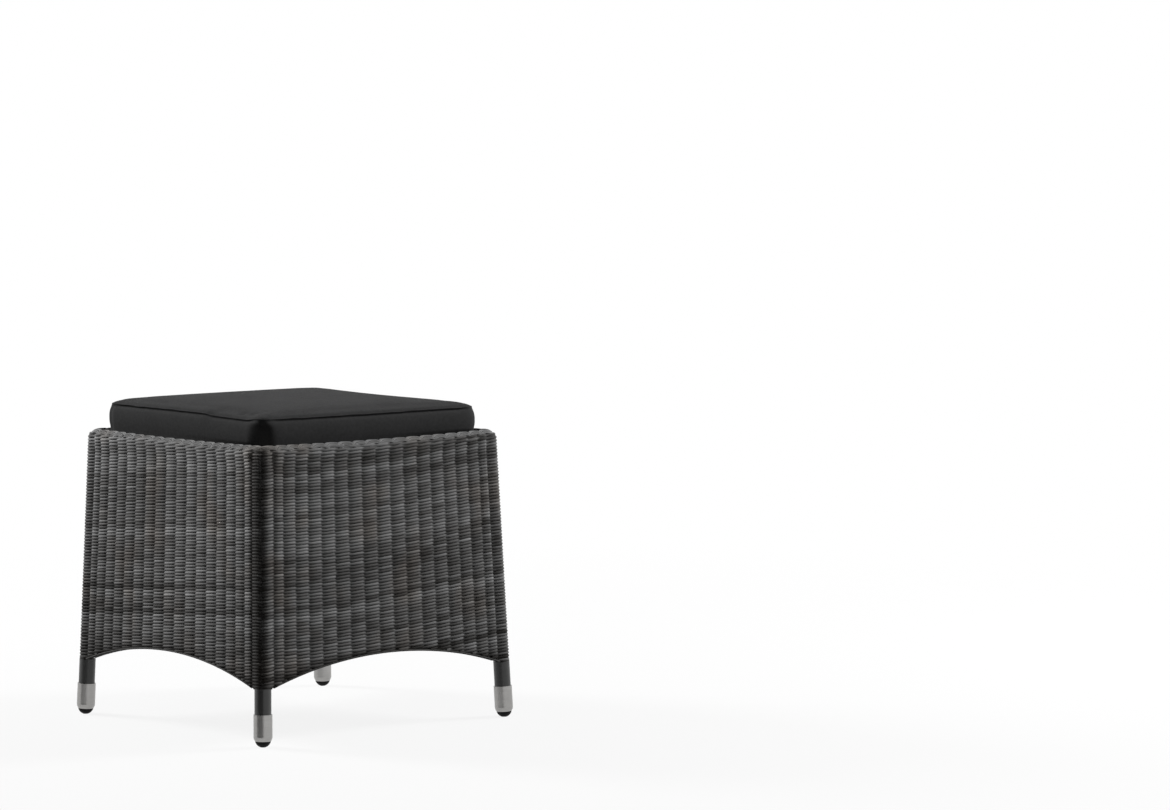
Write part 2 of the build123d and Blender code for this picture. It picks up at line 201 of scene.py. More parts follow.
class Strands:                   # the strands of one piece, gathered here and made into one mesh
    def __init__(self, around=6):
        self.around = around
        self.points, self.faces, self.tone, self.spread = [], [], [], []
        self.count, self.strips = 0, 0       # of the points, and of the strips of the UV map, one for each strand

    def lay(self, points, facing, radius, tone, flat=1.0, capped=True):
        points = np.asarray(points, float)
        if points.ndim == 2:
            points = points[None]
        strands, samples, _ = points.shape
        facing = np.broadcast_to(facing, points.shape)
        radius = np.broadcast_to(radius, (strands, samples))[..., None, None]
        tone = np.broadcast_to(tone, (strands, samples))
        forward = unit(np.gradient(points, axis=1))
        across = unit(np.cross(forward, facing))
        outer = np.cross(across, forward)
        turn = np.arange(self.around) * 2 * math.pi / self.around
        ring = (np.cos(turn)[:, None] * across[:, :, None] + flat * np.sin(turn)[:, None] * outer[:, :, None])
        ring = points[:, :, None] + radius * ring
        index = self.count + np.arange(strands * samples * self.around).reshape(strands, samples, self.around)
        nextOne = np.roll(index, -1, axis=2)
        quads = np.stack([index[:, :-1], index[:, 1:], nextOne[:, 1:], nextOne[:, :-1]], -1).reshape(-1, 4)
        self.faces += quads.tolist()
        s, i, k = np.meshgrid(np.arange(strands), np.arange(samples - 1), np.arange(self.around), indexing="ij")
        margin = 0.06            # of its strip that a strand leaves free on both sides
        corners = [np.stack([a / (samples - 1), self.strips + s + margin + (1 - 2 * margin) * b / self.around], -1)
                   for a, b in ((i, k), (i + 1, k), (i + 1, k + 1), (i, k + 1))]
        self.spread.append(np.stack(corners, -2).reshape(-1, 2))
        if capped:
            for strand in range(strands):
                self.faces += [index[strand, 0].tolist(), index[strand, -1, ::-1].tolist()]
                middle = self.strips + strand + 0.5
                self.spread.append(np.repeat([[0.0, middle], [1.0, middle]], self.around, axis=0))
        self.points.append(ring.reshape(-1, 3))
        self.tone.append(np.repeat(tone.ravel(), self.around))
        self.count += strands * samples * self.around
        self.strips += strands

    def finish(self, name, material, body, slot, *nodes):
        mesh = bpy.data.meshes.new(name)
        mesh.from_pydata(np.concatenate(self.points).tolist(), [], self.faces)
        mesh.attributes.new("tone", "FLOAT", "POINT").data.foreach_set("value", np.concatenate(self.tone))
        spread = np.concatenate(self.spread)
        spread[:, 1] /= self.strips
        mesh.uv_layers.new(name="OFBake").uv.foreach_set("vector", spread.astype(np.float32).ravel())
        mesh.shade_smooth()
        dress(placed(name, mesh), material, body, slot, *nodes)


def dress(piece, material, body, slot, *nodes):
    piece.data.materials.clear()
    piece.data.materials.append(material)
    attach(piece, body)
    if nodes:
        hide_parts(*nodes)
    print(piece.name, len(piece.data.polygons), "faces")
    return piece


def waves(first, second, amount, paces):     # a smooth uneven drift over a surface
    total = 0
    for _ in range(5):
        a, b = chance.normal(0, 1, 2) * paces
        total = total + np.sin(first * a + second * b + chance.uniform(0, 2 * math.pi))
    return total * amount / math.sqrt(5)


strandPaint = Paint("strandWeave", Specular_IOR_Level=0.12)
# the strands' own tone, with painted shade in it at the posts, down the front left post, along the arch and low on
# the walls
tone = strandPaint.value("tone")
grain = strandPaint.noise(90, 4)
patches = strandPaint.noise(9, 2)
hue = strandPaint.noise(13, 1)
mixed = (tone * 0.8 + grain * 0.2 + patches * 0.16 - 0.09).clamped()
neutral = strandPaint.ramp(mixed, (0.0, grey(34, (1.1, 1.0, 0.9))), (0.3, grey(104, (1.02, 1.0, 0.98))),
                           (0.55, grey(140)), (0.8, grey(165)), (1.0, grey(190, (1.0, 1.0, 1.02))))
warm = strandPaint.ramp(mixed, (0.0, grey(32, (1.2, 1.0, 0.84))), (0.4, grey(106, (1.1, 1.0, 0.92))),
                        (1.0, grey(182, (1.06, 1.0, 0.94))))
strandColour = strandPaint.blend(((hue - 0.52) * 5).clamped(), neutral, warm)
strandFinish = strandPaint.wear(strandColour, 0.5 + 0.3 * grain, strandPaint.noise(900, 2), 0.00015, 0.35)

# Woven walls: rows of strands that pass over one stake and under the next
weave = dict(
    radius=0.0018,
    flat=0.57,
    spreads=(1.24, 1.5),         # how much wider a strand lies in front of a stake and behind it
    postSpread=(1.25, 1.1, 0.92, 0.9, 0.9),  # and on its way round a post
    pitch=0.0024,
    climb=14,                    # pitches a row climbs to the right along a side, so the strands wind up the stool
    bow=(0.005, 0.002, 0.002, 0.0),          # how far the rows of each side hang in its middle
    top=0.4372,
    middle=0.0089,               # of the weave, out from the plane of the post axes
    swing=0.0016,                # of a strand before and behind that
    points=(0.0, 0.18, 0.36, 0.5, 0.64, 0.82),                    # of a strand, from one stake to the next
    hold=((0.0, 1.0), (0.18, 0.93), (0.36, 0.62), (0.5, 0.0)),    # how flat it lies over the nearest stake
    overPost=((98, 0.0150), (76, 0.0126), (45, 0.0118), (22.5, 0.0117), (0, 0.0117)),   # degrees from the corner's
    underPost=((104, 0.0148), (88, 0.0118), (62, 0.0108), (30, 0.0107), (0, 0.0107)),   # diagonal, and reach
    postFrom=0.012,              # before a post's axis, where a strand turns with the post
    shortest=3,                  # points of a strand that the arch or the rim cuts off
    leastEnd=0.15,               # of the way to its next point that such a strand goes on
    fromEdge=0.0022,             # of its end, from the arch
    topTuck=(0.408, 0.429, 0.0114, 0.0013),  # from this height to this, and the middle and swing there
    sagFrom=0.36,                # from here up the rows come down with the sagging rim
    drift=0.0009,
    driftPaces=(14, 9),          # how fast it changes to the right and up
    calm=dict(posts=1.5, rim=(0.425, 0.4125), arch=(-0.004, 1 / 60), least=0.15),   # where rows run more evenly
    unevenHeight=0.00015,
    unevenDepth=0.0002,
    unevenThickness=0.04,
)
weaveTone = dict(                # of the strands, from 0 dark to 1 pale
    middle=0.5,
    runs=(0.13, 2, 8),           # spread, and how many rows keep a tone
    odd=0.10,                    # spread of the single rows
    bounds=(0.02, 0.98),
    waves=(0.46, 0.3, 0.06, (3.0, 2.0)),     # over the wall: width, height, amount, paces
    rise=(0.85, 0.37),           # painted shade low on the walls: paler by this for each metre up, from this height
    crossing=0.085,
    wrapShades=(0.0, -0.16),          # painted shade round a post: none on the rows that go over it, some on the deeper rows that go under it
    wrapFrom=(-0.0145, -0.0115), # past the post's axis
    edge=(0.46, 0.013),          # painted shade above the arch, where the rail shades the rows: how much darker, and how far up
    bottom=0.4,                  # of the level row along the bottom
    corner=dict(                 # painted shade: the dark strip down the front left post, where the corner lies in shade, also past its axis
        darker=0.78,
        left=(-0.0138, -0.0128),
        turn=(0.001, 0.005),
        turned=0.36,             # of it on the side that has turned to the front
        front=(-0.001, 0.001),
    ),
)
arch = dict(
    apex=stool["weaveLow"] + stool["archRise"],
    short=0.0125,                # of the post axes
    edgeRadius=0.00135,
    edgeDepths=(0.0108, 0.0084, 0.006),
    # the strands along the arch edge are dark with painted shade, where the rail shades them
    edgeShadeTone=0.04,
    edgeSamples=61,
)
arch["half"] = postAt(stool["weaveLow"]) - arch["short"]
arch["bend"] = (arch["half"] ** 2 + stool["archRise"] ** 2) / (2 * stool["archRise"])
stakeNumbers = np.arange(stool["stakeSteps"] + 1)
stakeShares = stakeShare(stakeNumbers)


def rowTones(rows):              # strands change tone in runs of a few rows, with odd ones between
    spread, fewest, most = weaveTone["runs"]
    runs = spread * np.repeat(chance.normal(0, 1, rows), chance.integers(fewest, most, rows))[:rows]
    tones = weaveTone["middle"] + runs + chance.normal(0, weaveTone["odd"], rows)
    return np.clip(tones, *weaveTone["bounds"])


def rolled(z):                   # how much of its depth a strand keeps where the wall rolls over the rim
    _, high, depth, _ = weave["topTuck"]
    return np.sqrt(1 - np.clip((z - high) / depth, 0, 0.99) ** 2)


def wallPath(side, heights, rowNumbers, rise):       # the rows' places, their room under the top, and their width
    points, last = weave["points"], stool["stakeSteps"] - 1
    steps = [points[-1]] + [stake + part for stake in range(1, last) for part in points]
    steps = np.array(steps + [last, last + 1 - points[-1]])
    share, nearest = stakeShare(steps), np.round(steps)
    parity = 1 - 2 * ((rowNumbers[:, None] + nearest) % 2)
    hold = np.interp(np.abs(steps - nearest), *zip(*weave["hold"]))
    z = heights[:, None] + rise * share + (rise > 0) * weave["bow"][side] * (share ** 2 - 1)
    kicks = chance.normal(0, 1, (2, len(heights), stool["stakeSteps"] + 2))
    before = np.floor(steps).astype(int)
    uneven = kicks[..., before] * (1 - steps + before) + kicks[..., before + 1] * (steps - before)
    calm = weave["calm"]
    start, height = calm["arch"]
    taper = fade(np.minimum(steps, stool["stakeSteps"] - steps), 0, calm["posts"]) * fade(z, *calm["rim"])
    taper = taper * np.maximum(fade(z - arch["apex"], start, start + height), calm["least"])
    z = z + (driftOf[side](share * postAt(z), z) + weave["unevenHeight"] * uneven[0]) * taper
    low, high, topMiddle, topSwing = weave["topTuck"]
    tuck = fade(z, low, high)
    middle = weave["middle"] + tuck * (topMiddle - weave["middle"]) - topMiddle * (1 - rolled(z))
    swing = weave["swing"] + tuck * (topSwing - weave["swing"])
    headroom = weave["top"] - z
    z = z - stool["rimSag"] * fade(z, weave["sagFrom"], high) * (1 - share ** 2)
    w = middle + swing * parity * hold + weave["unevenDepth"] * uneven[1] * taper
    width = 1 + (np.where(parity > 0, *weave["spreads"]) - 1) * hold
    turn = np.where((rowNumbers % 2 == 0)[:, None, None], weave["overPost"], weave["underPost"])
    angle, reach = np.radians(45 + turn[..., 0]), turn[..., 1]
    ends = []
    for hand in (-1, 1):
        way = np.minimum(1 + reach * np.cos(angle) / postAt(heights[:, None]), 1)
        zEnd = heights[:, None] + hand * rise * way
        held = reach * rolled(zEnd)
        uEnd = hand * (postAt(zEnd) + held * np.cos(angle))
        parts = (uEnd, held * np.sin(angle), zEnd, weave["top"] - zEnd, weave["postSpread"] + 0 * zEnd)
        ends.append([part if hand > 0 else part[:, ::-1] for part in parts])
    wall = (share * postAt(z), w, z, headroom, width)
    return [np.concatenate(parts, 1) for parts in zip(ends[0], wall, ends[1])]


def partsInside(line, gap):      # the parts of a strand where gap is above 0, each ended where it is 0
    changes = np.flatnonzero(np.diff(np.concatenate([[0], gap > 0, [0]]).astype(int)))
    for first, last in changes.reshape(-1, 2):
        if last - first < weave["shortest"]:
            continue
        part = line[first:last]
        for inner, outer in ((first, first - 1), (last - 1, last)):
            if 0 <= outer < len(line):
                share = gap[inner] / (gap[inner] - gap[outer])
                if share > weave["leastEnd"]:
                    end = line[inner] + share * (line[outer] - line[inner])
                    part = np.vstack([end, part] if outer < inner else [part, end])
        yield part


# Painted shade: darker strands down the front left post, standing in for the shade on the corner that turns away
# from both lamps
def paintedCornerShade(side, u, z):
    corner, name = weaveTone["corner"], stool["sides"][side]
    if name == "left":
        past = u - postAt(z)
        rounding = 1 - (1 - corner["turned"]) * fade(past, *corner["turn"])
        return corner["darker"] * rounding * fade(past, *corner["left"])
    if name == "front":
        return corner["darker"] * corner["turned"] * fade(-u - postAt(z), *corner["front"])
    return 0


def layRows(pile, side, heights, numbers, ownTones, thickness, rise, lowest):    # rise is half of their climb
    u, w, z, headroom, width = wallPath(side, heights, numbers, rise)
    wide, high, amount, paces = weaveTone["waves"]
    shadeClimb, level = weaveTone["rise"]
    # random tones, and painted shade that makes the walls darker lower down
    tones = ownTones[:, None] + waves(u / wide + side, z / high, amount, paces) + shadeClimb * (z - level)
    crossings = chance.normal(0, weaveTone["crossing"], (len(heights), stool["stakeSteps"] + 1))
    nearest = np.rint(np.interp(u / postAt(z), stakeShares, stakeNumbers)).astype(int)
    past = np.abs(u) - postAt(z)
    wrapShade = np.array(weaveTone["wrapShades"])[numbers % 2, None]
    fromArch = np.hypot(u, z - arch["apex"] + arch["bend"]) - arch["bend"]
    darker, above = weaveTone["edge"]
    # random tone at each crossing, and painted shade on the deeper rows round the posts
    tones = tones + np.take_along_axis(crossings, nearest, 1) + wrapShade * fade(past, *weaveTone["wrapFrom"])
    # painted shade down the front left post and just above the arch
    tones = tones - paintedCornerShade(side, u, z) - darker * fade(fromArch, above, 0)
    facing = np.broadcast_to(outward[side], u.shape + (3,)).copy()
    fromPost = (np.sign(u) * past)[..., None] * along[side] + w[..., None] * outward[side]
    turning = past > -weave["postFrom"]
    facing[turning] = unit(fromPost[turning])
    full = onWall(side, u, w, z)
    radius = weave["radius"] * thickness[:, None] * width
    gap = np.minimum(np.minimum(fromArch - weave["fromEdge"], z - lowest), headroom)
    whole = (gap > 0).all(1)
    pile.lay(full[whole], facing[whole], radius[whole], tones[whole], weave["flat"])
    for row in np.flatnonzero(~whole):
        for part in partsInside(np.column_stack([full[row], facing[row], tones[row], radius[row]]), gap[row]):
            pile.lay(part[:, :3], part[:, 3:6], part[:, 7], part[:, 6], weave["flat"])


def weaveWall(side):
    pile = Strands()
    spare = weave["climb"] // 2
    numbers = np.arange(-spare, rowCount + spare)
    strands = numbers + spare + weave["climb"] * (3 - side)      # each goes on round the corner, one climb higher
    bottom = stool["weaveLow"] + weave["pitch"] / 2
    layRows(pile, side, bottom + weave["pitch"] * numbers, numbers, toneOfStrands[strands], thickOfStrands[strands],
            weave["pitch"] * weave["climb"] / 2, bottom)
    level = [np.array([value]) for value in (bottom, 0, weaveTone["bottom"], 1.0)]
    layRows(pile, side, *level, 0.0, 0.0)
    bend = arch["bend"] + arch["edgeRadius"]
    swept = np.linspace(-1, 1, arch["edgeSamples"]) * math.asin(arch["half"] / bend)
    edgeU, edgeZ = bend * np.sin(swept), arch["apex"] - arch["bend"] + bend * np.cos(swept)
    for depth in arch["edgeDepths"]:
        pile.lay(onWall(side, edgeU, depth + 0 * edgeU, edgeZ), outward[side], arch["edgeRadius"], arch["edgeShadeTone"])
    sideName = stool["sides"][side]
    pile.finish("wovenWall." + sideName, strandFinish, "frame", "woven_strand", "woven_wall_" + sideName,
                "corner_weave_" + stool["leftCorners"][side])


def driftMaker():
    first, second = weave["driftPaces"]
    kicks = [(chance.normal(0, first), chance.normal(0, second), chance.uniform(0, 6.28)) for _ in range(5)]
    return lambda u, z: weave["drift"] / math.sqrt(5) * sum(np.sin(a * u + b * z + c) for a, b, c in kicks)


driftOf = [driftMaker() for _ in stool["sides"]]
rowCount = int((weave["top"] - stool["weaveLow"]) / weave["pitch"])
strandCount = rowCount + 4 * weave["climb"]
toneOfStrands = rowTones(strandCount)
thickOfStrands = 1 + chance.normal(0, weave["unevenThickness"], strandCount)
for side in range(4):
    weaveWall(side)

# Strands wound round the arch rails
binding = dict(
    radius=0.00125,
    ring=0.0093,                 # from the rail's axis to the strands
    above=0.0105,                # of the rail's axis over the arch
    depth=-0.0026,               # and out of the plane of the post axes
    short=0.0025,                # of each end of the arch
    pitch=0.0026,
    opening=(60, 300),           # degrees round the rail, up from outward
    samples=9,
    endDepth=0.0066,             # both ends of a turn go forward into the wall
    endLifts=(0.0006, -0.0001),
    tones=(0.16, 0.06),          # middle, dark with painted shade under the arch, and spread
)


def windArch(side):
    pile = Strands()
    bend = arch["bend"] + binding["above"]
    limit = math.asin((arch["half"] - binding["short"]) / bend)
    turns = int(2 * limit * bend / binding["pitch"])
    centre = np.linspace(-limit, limit, turns)[:, None]
    turn = np.radians(np.linspace(*binding["opening"], binding["samples"]))
    angle = centre + binding["pitch"] / bend * (turn / (2 * math.pi) - 0.5)
    radius = bend + binding["ring"] * np.sin(turn)
    u, z = radius * np.sin(angle), arch["apex"] - arch["bend"] + radius * np.cos(angle)
    w = binding["depth"] + binding["ring"] * np.cos(turn) + 0 * centre
    ends = ((0, 0), (1, 1))
    u, z = np.pad(u, ends, "edge"), np.pad(z, ends, "edge")
    w = np.pad(w, ends, constant_values=binding["endDepth"])
    z[:, 0] += binding["endLifts"][0]
    z[:, -1] += binding["endLifts"][1]
    facing = np.sin(centre)[..., None] * along[side] + np.cos(centre)[..., None] * upward
    tone, spread = binding["tones"]
    pile.lay(onWall(side, u, w, z), np.cross(facing, outward[side]), binding["radius"],
             tone + chance.normal(0, spread, turns)[:, None])
    name = stool["sides"][side]
    pile.finish("archBinding." + name, strandFinish, "frame", "woven_strand", "arch_binding_" + name)


for side in range(4):
    windArch(side)

# Rolled rim: a wound core, and over it a bundle of strands from each stake
rim = dict(
    cornerRadius=0.009,
    inside=0.2012,               # from the middle to the roll, along X or Y
    core=0.0094,                 # from the rail's axis to the strands wound next to it
    coreRadius=0.00135,
    corePitch=0.00262,
    coreTurn=(36, 255),          # degrees round the rail, up from outward
    coreSamples=12,
    coreLead=0.4,                # stakes that a winding moves on by
    coreTones=(0.4, 0.08),       # middle and spread
    loopRadius=0.00135,
    loopSamples=17,
    loopStart=(-0.2, 0.03),      # in stakes from its own one, and how much later for each next strand
    loopLength=(1.42, -0.05),    # in stakes, and how much longer for each next strand
    loopRise=(0.85, 0.9),        # how soon it peaks, and how pointed it is
    loopDepth=((0, 0.0112), (0.14, 0.0121), (0.45, 0.0124), (0.74, 0.0121), (1, 0.0108)),
    loopOver=0.0001,             # how much nearer the rail each next strand lies
    loopPeaks=(88, 76, 58, 47),  # of the strands of a loop, up from outward
    loopFoot=(44, 39, 30, 26),
    loopDip=(52, 45, 35, 28),
    loopChance=(0.02, 0.04, 1.5),            # in its start, length and degrees
    loopTones=(0.66, -0.04, 0.06),           # first, change for each next strand, spread
)


def onRim(count, angle, reach):  # count in stakes round the whole rim, angle up from outward
    side = np.floor(count / stool["stakeSteps"]).astype(int)
    share = stakeShare(count - side * stool["stakeSteps"])
    half, corner = postAt(stool["railHeight"]), rim["cornerRadius"]
    travel = share * (half - corner + corner * math.pi / 4)
    over = np.maximum(np.abs(travel) - (half - corner), 0) / corner
    hand = np.sign(travel)
    u = hand * (np.minimum(np.abs(travel), half - corner) + corner * np.sin(over))
    w = -corner * (1 - np.cos(over))
    z = stool["railHeight"] - stool["rimSag"] * (1 - (u / half) ** 2)
    away = reach * np.cos(angle)
    u, w, z = u + away * hand * np.sin(over), w + away * np.cos(over), z + reach * np.sin(angle)
    right, out = along[side % 4], outward[side % 4]
    points = u[..., None] * right + (half + w)[..., None] * out + z[..., None] * upward
    facing = (hand * np.sin(over))[..., None] * right + np.cos(over)[..., None] * out
    return points, np.cos(angle)[..., None] * facing + np.sin(angle)[..., None] * upward


def rollRim(side):
    pile = Strands()
    first = side * stool["stakeSteps"]
    turns = int(2 * postAt(stool["railHeight"]) / rim["corePitch"])
    steps = stool["stakeSteps"] * (np.arange(turns) + 0.5) / turns
    angle = np.radians(np.linspace(*rim["coreTurn"], rim["coreSamples"]))
    count = first + steps[:, None] + rim["coreLead"] * np.linspace(-0.5, 0.5, rim["coreSamples"])
    tone, spread = rim["coreTones"]
    pile.lay(*onRim(count, angle + 0 * count, rim["core"] + 0 * count), rim["coreRadius"],
             tone + chance.normal(0, spread, turns)[:, None])
    t = np.linspace(0, 1, rim["loopSamples"])
    start, later = rim["loopStart"]
    length, longer = rim["loopLength"]
    sooner, pointed = rim["loopRise"]
    tone, change, spread = rim["loopTones"]
    rise = np.sin(math.pi * t ** sooner) ** pointed
    depth = np.interp(t, *zip(*rim["loopDepth"]))
    for stake in range(stool["stakeSteps"]):
        moved, stretched, turned = chance.normal(0, 1, 3) * rim["loopChance"]
        for strand, peak in enumerate(rim["loopPeaks"]):
            count = first + stake + start + moved + later * strand + (length + longer * strand + stretched) * t
            foot, dip = rim["loopFoot"][strand], rim["loopDip"][strand]
            angle = np.radians(foot + (dip - foot) * t + (peak - foot) * rise + turned)
            pile.lay(*onRim(count, angle, depth + rim["loopOver"] * (3 - strand)), rim["loopRadius"],
                     tone + change * strand + chance.normal(0, spread))
    name = stool["sides"][side]
    pile.finish("rolledRim." + name, strandFinish, "frame", "woven_strand", "rim_braid_" + name)


for side in range(4):
    rollRim(side)

# Deck under the cushion
deckLow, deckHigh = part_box("seat_weave")
deck = dict(
    pitch=0.0079,
    width=0.0036,                # half of a strand's
    flat=0.16,
    lift=0.00062,                # of a strand where it goes over another
    edge=0.0106,                 # radius of the sheet's bend round its rails
    sunk=0.0013,                 # of the strands under the sheet's face
    foot=0.001,                  # of their ends over its lower edge
    samples=9,                   # from flat to upright
    wide=0.1925,
    tones=(0.3, 0.1),            # middle and spread
)


def weaveDeck():
    pile = Strands()
    top, flatHalf = deckHigh.z - deck["sunk"], deckHigh.x - deck["edge"]
    count = int(2 * deck["wide"] / deck["pitch"])
    lines = (np.arange(count) - (count - 1) / 2) * deck["pitch"]
    inner = lines[np.abs(lines) < flatHalf]
    place = np.sort(np.concatenate([inner, (inner[1:] + inner[:-1]) / 2]))
    wave = np.array((1.0, 0.0, -1.0, 0.0))[np.rint((place - lines[0]) / deck["pitch"] * 2).astype(int) % 4]
    bent = np.radians(np.linspace(90, 0, deck["samples"])[1:])
    radius = deck["edge"] - deck["sunk"]
    outX, outZ = flatHalf + radius * np.cos(bent), top - radius + radius * np.sin(bent)
    outX, outZ = np.append(outX, outX[-1]), np.append(outZ, deckLow.z + deck["foot"])
    lean = np.append(math.pi / 2 - bent, math.pi / 2)
    angle = np.concatenate([-lean[::-1], 0 * place, lean])
    x = np.concatenate([-outX[::-1], place, outX])
    tilt = np.stack([np.sin(angle), 0 * angle, np.cos(angle)], -1)
    tone, spread = deck["tones"]
    for family, axes in enumerate(([0, 1, 2], [1, 0, 2])):       # along X, and then along Y
        for number, line in enumerate(lines):
            hand = 1 if (number + family) % 2 == 0 else -1
            z = np.concatenate([outZ[::-1], top + hand * deck["lift"] * wave, outZ])
            points = np.stack([x, np.full_like(x, line), z], -1)
            pile.lay(points[:, axes], tilt[:, axes], deck["width"], tone + chance.normal(0, spread), deck["flat"])
    pile.finish("deckWeave", strandFinish, "frame", "woven_strand", "seat_weave")


weaveDeck()

# Cushion
cushion = dict(
    seam=0.47737,
    low=0.41767,
    half=0.2036,
    corner=0.017,
    draw=0.002,                  # how far the sides pull in between the corners
    crown=0.0115,                # as sewn
    pressure=4.0,
    stiffness=25,
    frames=20,
    cap=0.0011,                  # the most that the sewn cover moves when it is stuffed
    rimTop=0.4415,
    side=(-0.012, -0.004),       # past the plan's edge, where a side begins
    groove=(0.0026, 0.0017, 0.0027),         # under the top seam: depth, half width, drop
    grooveEnds=(0.008, 0.038),   # from a corner
    gathered=(0.0018, 0.006),    # of the cover at the top seam: how far in, and how far up and down
    stitched=0.002,              # under the top seam, above the forms of the sides
    crease=(0.0011, 0.0022, 0.0165, 0.004),  # left, by the rear corner: depth, half width, from it, ending
    tuck=(0.009, 0.037, (0.05, 0.005), 0.014),   # front left, where the rim squeezes: depth, reach, start, ending
    bulge=(0.0013, 0.012, 0.016),            # of the sides above the rim: depth, beginning, ending
    lift=(0.0035, 0.225),        # of the rear left corner over the front right one, and half of its spread
    liftFrom=(0.43, 0.46),
    sag=(0.0024, (-0.055, -0.075), (-0.185, -0.155), (-0.15, -0.19)),    # of the left seam: depth, ends, start
    turn=-0.011,
    zipFlat=(0.0145, 0.012, 0.0016, 0.004, 0.007),   # past each end, for the pull, up and down, depth, edge
    dimples=(                    # place, depth, reach
        (-0.1865, -0.130, 0.0019, 0.006),
        (-0.1800, -0.1420, -0.0011, 0.007),
        (0.05, -0.17, 0.0007, 0.02),
        (-0.15, 0.02, 0.0008, 0.03),
        (0.11, 0.06, 0.0007, 0.035),
    ),
)
crownShares = ((0.0, 0.0), (0.01, 0.2), (0.025, 0.36), (0.06, 0.52), (0.14, 0.72), (0.26, 0.86), (0.42, 0.95),
               (0.62, 0.99), (1.0, 1.0))     # from an edge to the middle
edgeSteps = np.array((0, 0.007, 0.017, 0.032, 0.052, 0.078, 0.11, *np.linspace(0.15, 1, 21)))
edgeSteps = np.concatenate([edgeSteps - 1, (1 - edgeSteps[:-1])[::-1]])
boxingSteps = np.array((0, 0.03, 0.08, 0.18, 0.3, 0.42, 0.54, 0.66, 0.78, 0.88, 0.93, 0.965, 1))
zipLow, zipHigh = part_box("zip_tape")
zipMiddle = (zipLow.z + zipHigh.z) / 2


def padPlan(a, b, half):         # a square with drawn-in sides and rounded corners, from -1..1 both ways
    pull = cushion["draw"] / half
    x, y = a * half * (1 - pull * (1 - b * b)), b * half * (1 - pull * (1 - a * a))
    inner = half - cushion["corner"]
    dx, dy = np.maximum(np.abs(x) - inner, 0), np.maximum(np.abs(y) - inner, 0)
    both = (dx > 0) & (dy > 0)
    scale = np.where(both, np.maximum(dx, dy) / np.maximum(np.hypot(dx, dy), 1e-9), 1.0)
    x = np.where(both, np.sign(x) * (inner + dx * scale), x)
    y = np.where(both, np.sign(y) * (inner + dy * scale), y)
    return x, y


def crownAt(a, b, rise):         # the lower of the two ways' crowns, with a soft hip between
    first, second = (np.maximum(np.interp(1 - np.abs(t), *zip(*crownShares)), 1e-3) for t in (a, b))
    return rise * (first ** -3 + second ** -3 - 1) ** (-1 / 3)


def padShell(name):              # the cover as cut and sewn, one closed mesh
    a, b = np.meshgrid(edgeSteps, edgeSteps, indexing="ij")
    x, y = padPlan(a, b, cushion["half"])
    seam, low = cushion["seam"], cushion["low"]
    sheets = [np.stack([x, y, seam + crownAt(a, b, cushion["crown"])], -1),
              np.stack([x, y, low + 0 * x], -1)[:, ::-1]]
    t, v = np.meshgrid(edgeSteps, boxingSteps, indexing="ij")
    one = np.ones_like(t)
    for a, b in ((t, -one), (one, t), (-t, one), (-one, -t)):
        x, y = padPlan(a, b, cushion["half"])
        sheets.append(np.stack([x, y, low + (seam - low) * v], -1))
    points = np.concatenate([sheet.reshape(-1, 3) for sheet in sheets])
    faces, base = [], 0
    for sheet in sheets:
        index = base + np.arange(sheet.shape[0] * sheet.shape[1]).reshape(sheet.shape[:2])
        quads = np.stack([index[:-1, :-1], index[1:, :-1], index[1:, 1:], index[:-1, 1:]], -1)
        faces.append(quads.reshape(-1, 4))
        base += index.size
    _, first, merged = np.unique(np.round(points * 1e5), axis=0, return_index=True, return_inverse=True)
    mesh = bpy.data.meshes.new(name)
    mesh.from_pydata(points[first].tolist(), [], merged.ravel()[np.concatenate(faces)].tolist())
    return placed(name, mesh)


def applied(piece):              # the piece's mesh with its modifiers applied
    bpy.context.view_layer.update()
    shown = piece.evaluated_get(bpy.context.evaluated_depsgraph_get())
    mesh = bpy.data.meshes.new_from_object(shown)
    piece.modifiers.clear()
    piece.data = mesh


def coordinates(mesh):
    flat = np.empty(len(mesh.vertices) * 3, np.float32)
    mesh.vertices.foreach_get("co", flat)
    return flat.reshape(-1, 3).astype(float)


def stuff(piece):                # with the corners held at both seams
    start, near = coordinates(piece.data), 1e-4
    ring = (np.abs(start[:, 2] - cushion["seam"]) < near) | (start[:, 2] < cushion["low"] + near)
    ring &= np.maximum(np.abs(start[:, 0]), np.abs(start[:, 1])) > cushion["half"] - cushion["corner"]
    held = piece.vertex_groups.new(name="held")
    held.add(np.flatnonzero(ring).tolist(), 1.0, "REPLACE")
    cloth = piece.modifiers.new("cloth", "CLOTH")
    cloth.settings.use_pressure = True
    cloth.settings.uniform_pressure_force = cushion["pressure"]
    cloth.settings.vertex_group_mass = "held"
    cloth.settings.tension_stiffness = cloth.settings.compression_stiffness = cushion["stiffness"]
    cloth.settings.effector_weights.gravity = 0
    for number in range(1, cushion["frames"] + 1):
        bpy.context.scene.frame_set(number)
    applied(piece)
    bpy.context.scene.frame_set(1)
    move = coordinates(piece.data) - start
    length = np.linalg.norm(move, axis=1, keepdims=True)
    end = start + move * np.minimum(1, cushion["cap"] / np.maximum(length, 1e-9))
    print("cushion stuffed: moved", round(float(length.max()) * 1000, 1), "mm at most before the cap")
    piece.data.vertices.foreach_set("co", end.astype(np.float32).ravel())


def lifted(x, y):                # the loose cushion isn't quite level, and its left seam sags near the corner
    rise, spread = cushion["lift"]
    deep, front, back, left = cushion["sag"]
    return rise * eased(y - x, -spread, spread) - deep * eased(y, *front) * eased(y, *back) * eased(x, *left)


def turned(x, y):                # and it lies a little askew
    return x - cushion["turn"] * y, y + cushion["turn"] * x


